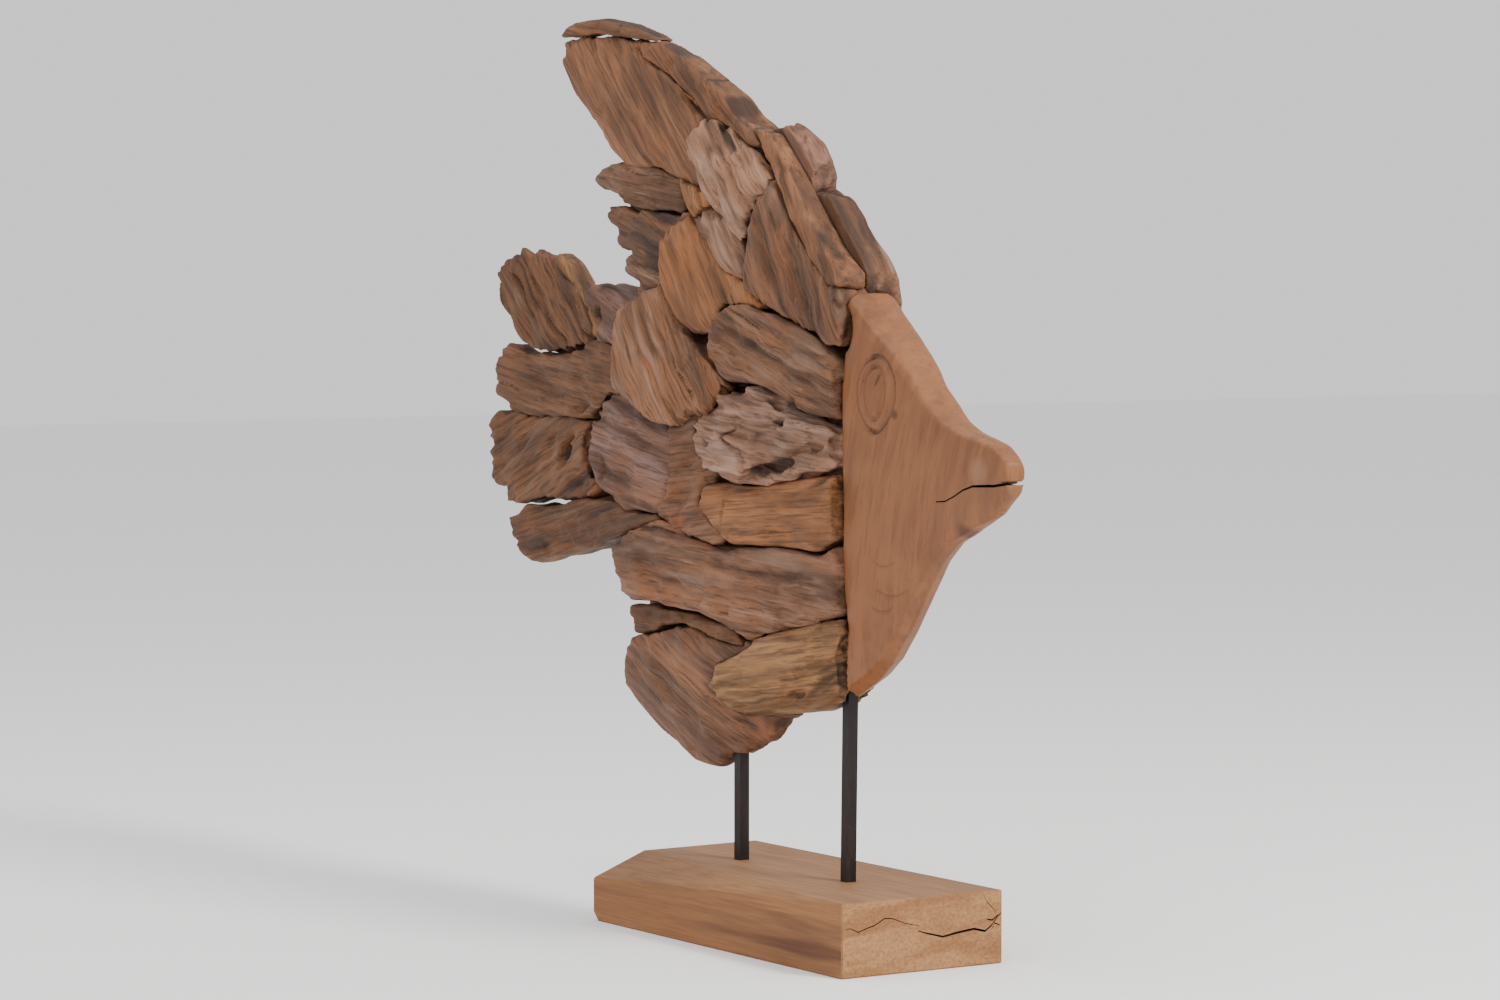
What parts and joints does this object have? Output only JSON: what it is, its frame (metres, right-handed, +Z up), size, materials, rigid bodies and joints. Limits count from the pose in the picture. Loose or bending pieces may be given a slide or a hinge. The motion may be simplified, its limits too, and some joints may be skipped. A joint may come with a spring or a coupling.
{
  "type": "wooden fish sculpture",
  "caption": "Fish pieced together from driftwood slabs round a carved head, held above a sawn wooden block by square steel bars.",
  "frame": {"origin": "centre of the wooden block's underside", "axes": "+X along the fish toward its mouth, -Y out of its right side, +Z up"},
  "size_m": [0.8698, 0.17, 0.848],
  "materials": {
    "sawn_wood": "sawn, bare",
    "black_steel": "dark, dull",
    "carved_wood": "carved and sanded, bare",
    "pale_driftwood": "weathered, bare",
    "orange_wood": "weathered, bare",
    "grey_driftwood": "weathered, bare",
    "tan_wood": "weathered, bare",
    "dark_wood": "weathered, bare",
    "brown_driftwood": "weathered, bare"
  },
  "bodies": {
    "root": {"base": "sawn_wood", "front_rod": "black_steel", "rear_rod": "black_steel", "head": "carved_wood", "dorsal_board": "tan_wood", "dorsal_cap": "tan_wood", "ridge_strip_upper": "tan_wood", "ridge_strip_lower": "tan_wood", "driftwood_ribbed": "pale_driftwood", "driftwood_sliver": "pale_driftwood", "driftwood_edge": "orange_wood", "shoulder_back": "dark_wood", "shoulder_leaf": "brown_driftwood", "spike_upper": "dark_wood", "spike_lower": "dark_wood", "orange_wedge": "orange_wood", "fan": "orange_wood", "rounded_block": "brown_driftwood", "eroded_block": "grey_driftwood", "rear_scrap": "brown_driftwood", "smooth_block": "orange_wood", "long_slab": "brown_driftwood", "slab_strip": "brown_driftwood", "keel_front": "pale_driftwood", "keel_rear": "brown_driftwood", "tail_root": "grey_driftwood", "tail_top": "brown_driftwood", "tail_board": "tan_wood", "tail_link": "grey_driftwood", "tail_middle": "brown_driftwood", "tail_low": "brown_driftwood", "tail_bottom": "brown_driftwood", "left_crest_rear": "grey_driftwood", "left_crest_front": "dark_wood", "left_fin_slab": "brown_driftwood", "left_shoulder": "brown_driftwood", "left_fan": "orange_wood", "left_middle": "grey_driftwood", "left_low": "orange_wood", "left_long_slab": "brown_driftwood"}
  },
  "joints": []
}
